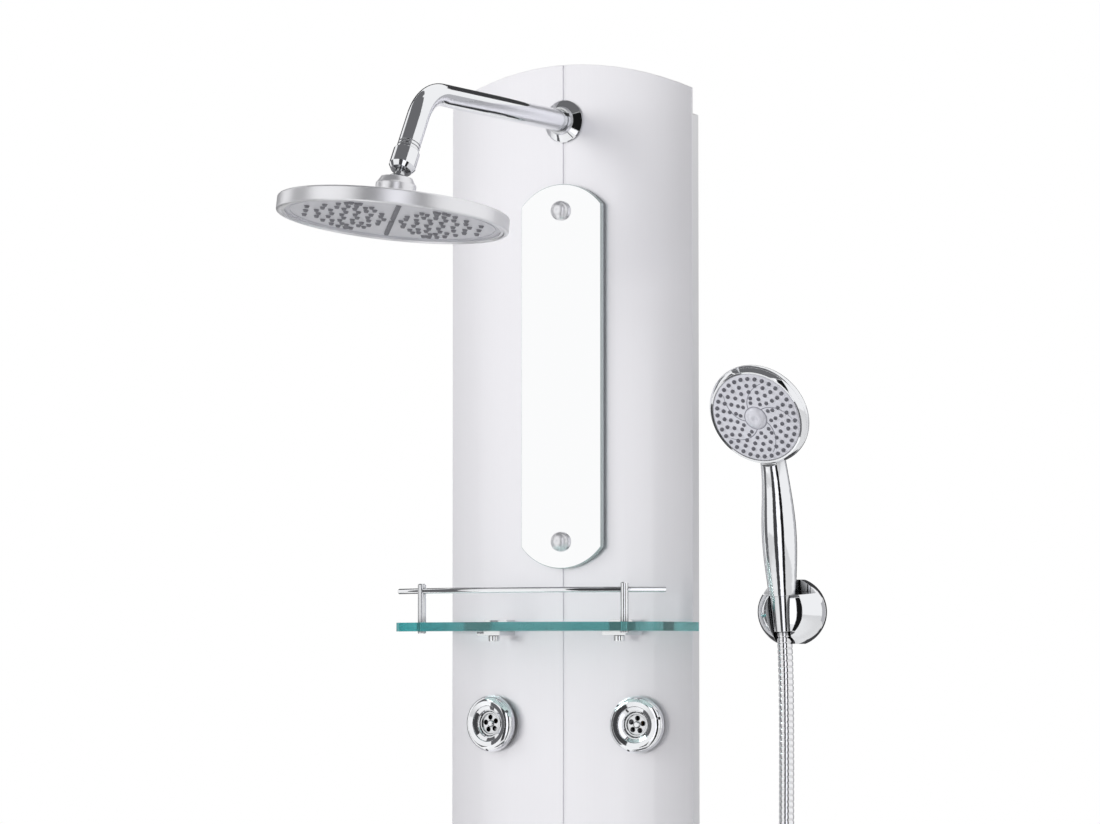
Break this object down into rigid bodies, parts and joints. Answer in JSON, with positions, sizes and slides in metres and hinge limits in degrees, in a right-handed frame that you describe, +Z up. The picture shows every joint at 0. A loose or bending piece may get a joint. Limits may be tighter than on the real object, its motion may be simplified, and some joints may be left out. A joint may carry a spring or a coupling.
{
  "type": "shower panel column",
  "caption": "wall-hung shower column with overhead shower on a bent arm, mirror, glass shelf, body jets, mixer, diverter and hand shower on a metal hose",
  "frame": {"origin": "middle of the upper wall bracket's screw pair, on the wall plane", "axes": "+X to the right as seen from the front, +Y into the wall, +Z up; the column faces -Y"},
  "size_m": [0.4055, 0.4537, 1.5957],
  "materials": {
    "panel_silver": "satin",
    "housing_silver": "satin",
    "zinc_steel": "satin",
    "chrome": "polished",
    "satin_chrome": "satin",
    "face_grey": "satin",
    "nozzle_rubber": "matte",
    "seal_plastic": "matte",
    "gasket_rubber": "matte",
    "mirror": "polished",
    "clear_glass": "polished",
    "valve_brass": "machined",
    "cartridge_plastic": "satin",
    "face_silver": "satin",
    "hose_chrome": "polished"
  },
  "bodies": {
    "column": {"front_panel": "panel_silver", "rear_housing": "housing_silver", "wall_brackets": "zinc_steel", "hang_bars": "zinc_steel", "housing_screws": "zinc_steel", "shower_arm": "chrome", "arm_flange": "chrome", "arm_nut": "valve_brass", "arm_elbow": "valve_brass", "ball_stem": "chrome", "arm_end_nut": "chrome", "mirror_glass": "mirror", "mirror_studs": "satin_chrome", "panel_nuts": "zinc_steel", "shelf_glass": "clear_glass", "shelf_clamps": "chrome", "clamp_screws": "chrome", "gallery_rail": "chrome", "rail_posts": "chrome", "jet_rings": "chrome", "jet_bodies": "valve_brass", "jet_gaskets": "gasket_rubber", "jet_nuts": "valve_brass", "mixer_body": "valve_brass", "mixer_cartridge": "cartridge_plastic", "mixer_cover": "chrome", "diverter_body": "valve_brass", "diverter_cover": "chrome", "feed_tubes": "valve_brass", "outlet_elbow": "chrome", "outlet_flange": "chrome", "holder_ball": "chrome", "holder_plate": "zinc_steel", "shower_hose": "hose_chrome", "hose_nut": "chrome"},
    "upper_swivel_ring": {"upper_liner": "seal_plastic"},
    "lower_swivel_ring": {"lower_liner": "seal_plastic"},
    "overhead_shower": {"head_collar": "satin_chrome", "head_shell": "satin_chrome", "head_face": "face_grey", "head_nozzles": "nozzle_rubber"},
    "mixer_control": {"mixer_dome": "chrome", "lever_pin": "zinc_steel"},
    "mixer_handle": {"mixer_lever": "chrome"},
    "diverter_control": {"diverter_spindle": "valve_brass", "diverter_knob": "chrome"},
    "hand_shower": {"hand_body": "chrome", "hand_bezel": "chrome", "hand_face": "face_silver", "hand_nozzles": "nozzle_rubber", "hand_cap": "satin_chrome", "cone_nut": "chrome"},
    "jet_turn_1": {"jet_seal_1": "seal_plastic"},
    "jet_nozzle_1": {"jet_ball_1": "chrome"},
    "jet_turn_2": {"jet_seal_2": "seal_plastic"},
    "jet_nozzle_2": {"jet_ball_2": "chrome"},
    "jet_turn_3": {"jet_seal_3": "seal_plastic"},
    "jet_nozzle_3": {"jet_ball_3": "chrome"},
    "jet_turn_4": {"jet_seal_4": "seal_plastic"},
    "jet_nozzle_4": {"jet_ball_4": "chrome"}
  },
  "joints": [
    {"name": "head_tilt_fore_aft", "type": "hinge", "parent": "column", "child": "upper_swivel_ring", "pos_m": [0, -0.351, 0.0614], "axis": [1, 0, 0], "range_deg": [-30, 8]},
    {"name": "head_tilt_side", "type": "hinge", "parent": "upper_swivel_ring", "child": "lower_swivel_ring", "pos_m": [0, -0.351, 0.0614], "axis": [0, 1, 0], "range_deg": [-12, 12]},
    {"name": "head_swivel", "type": "hinge", "parent": "lower_swivel_ring", "child": "overhead_shower", "pos_m": [0, -0.351, 0.0614], "axis": [0.0538, 0.1078, 0.9927], "continuous": true},
    {"name": "jet_1_turn", "type": "hinge", "parent": "column", "child": "jet_turn_1", "pos_m": [-0.07534, -0.05269, -0.402], "axis": [-0.1141, -0.9935, 0], "continuous": true},
    {"name": "jet_1_tilt", "type": "hinge", "parent": "jet_turn_1", "child": "jet_nozzle_1", "pos_m": [-0.07534, -0.05269, -0.402], "axis": [0.9935, -0.1141, 0], "range_deg": [-12, 12]},
    {"name": "jet_2_turn", "type": "hinge", "parent": "column", "child": "jet_turn_2", "pos_m": [0.07534, -0.05269, -0.402], "axis": [0.1141, -0.9935, 0], "continuous": true},
    {"name": "jet_2_tilt", "type": "hinge", "parent": "jet_turn_2", "child": "jet_nozzle_2", "pos_m": [0.07534, -0.05269, -0.402], "axis": [0.9935, 0.1141, 0], "range_deg": [-12, 12]},
    {"name": "jet_3_turn", "type": "hinge", "parent": "column", "child": "jet_turn_3", "pos_m": [-0.07534, -0.05269, -0.86], "axis": [-0.1141, -0.9935, 0], "continuous": true},
    {"name": "jet_3_tilt", "type": "hinge", "parent": "jet_turn_3", "child": "jet_nozzle_3", "pos_m": [-0.07534, -0.05269, -0.86], "axis": [0.9935, -0.1141, 0], "range_deg": [-12, 12]},
    {"name": "jet_4_turn", "type": "hinge", "parent": "column", "child": "jet_turn_4", "pos_m": [0.07534, -0.05269, -0.86], "axis": [0.1141, -0.9935, 0], "continuous": true},
    {"name": "jet_4_tilt", "type": "hinge", "parent": "jet_turn_4", "child": "jet_nozzle_4", "pos_m": [0.07534, -0.05269, -0.86], "axis": [0.9935, 0.1141, 0], "range_deg": [-12, 12]},
    {"name": "mixer_turn", "type": "hinge", "parent": "column", "child": "mixer_control", "pos_m": [0, -0.054, -0.6], "axis": [0, -1, 0], "range_deg": [-45, 45]},
    {"name": "mixer_lift", "type": "hinge", "parent": "mixer_control", "child": "mixer_handle", "pos_m": [0, -0.087, -0.6], "axis": [-1, 0, 0], "range_deg": [0, 25]},
    {"name": "diverter_turn", "type": "hinge", "parent": "column", "child": "diverter_control", "pos_m": [0, -0.054, -0.72], "axis": [0, -1, 0], "range_deg": [-60, 60]},
    {"name": "handset_lift", "type": "slide", "parent": "column", "child": "hand_shower", "axis": [0, -0.1132, 0.9936], "range_m": [0, 0.06], "deforming": ["shower_hose"]}
  ]
}
